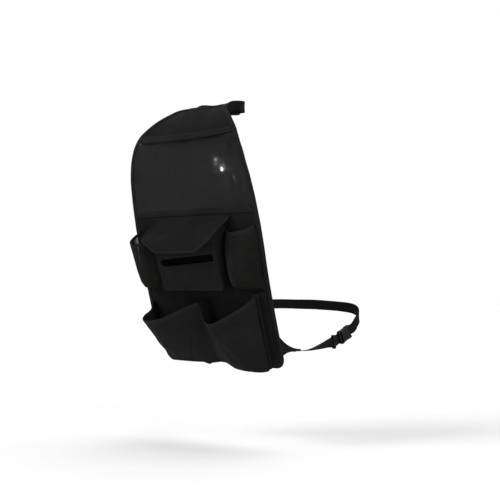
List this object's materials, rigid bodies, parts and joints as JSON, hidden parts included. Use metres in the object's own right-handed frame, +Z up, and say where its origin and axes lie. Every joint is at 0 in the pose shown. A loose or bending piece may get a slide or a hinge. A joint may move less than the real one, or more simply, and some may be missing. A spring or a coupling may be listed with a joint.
{
  "type": "car seat back organizer",
  "caption": "Dark cloth organizer hung on the rear of a car seat: clear top pocket, lidded tissue pocket with a slot, net side pockets, wide lower pockets, and straps with side-release buckles.",
  "frame": {"origin": "on the rear face of the back panel, on its centre line, in the middle of its flat stretch, 245 mm of cloth below the top edge", "axes": "+Z up as the part hangs on a seat, +X to the right of a person looking at the pockets, the pockets face -Y and the seat is at +Y"},
  "size_m": [0.4883, 0.4632, 0.6562],
  "materials": {
    "cloth": "black woven polyester, matte",
    "trim": "black woven binding tape, matte",
    "net": "black knitted net",
    "film": "clear soft film, glossy",
    "webbing": "black ribbed webbing",
    "plastic": "black moulded plastic, glossy"
  },
  "bodies": {
    "root": {"back_panel": "cloth", "box_gusset": "cloth", "box_front": "cloth", "box_lid": "cloth", "lower_pocket_right": "cloth", "lower_pocket_left": "cloth", "lower_divider": "cloth", "strap_tab_right": "cloth", "strap_tab_left": "cloth", "edge_binding": "trim", "window_band": "trim", "window_tape": "trim", "lid_binding": "trim", "net_rim_right": "trim", "net_rim_left": "trim", "lower_rim_right": "trim", "lower_rim_left": "trim", "net_pocket_right": "net", "net_pocket_left": "net", "window_film": "film", "seat_strap_right": "webbing", "seat_strap_left": "webbing", "headrest_band": "webbing", "headrest_strap_left": "webbing", "headrest_strap_right": "webbing", "seat_strap_keeper": "plastic", "seat_buckle_socket": "plastic", "seat_buckle_plug": "plastic", "headrest_buckle_socket": "plastic", "headrest_buckle_plug": "plastic"}
  },
  "joints": []
}
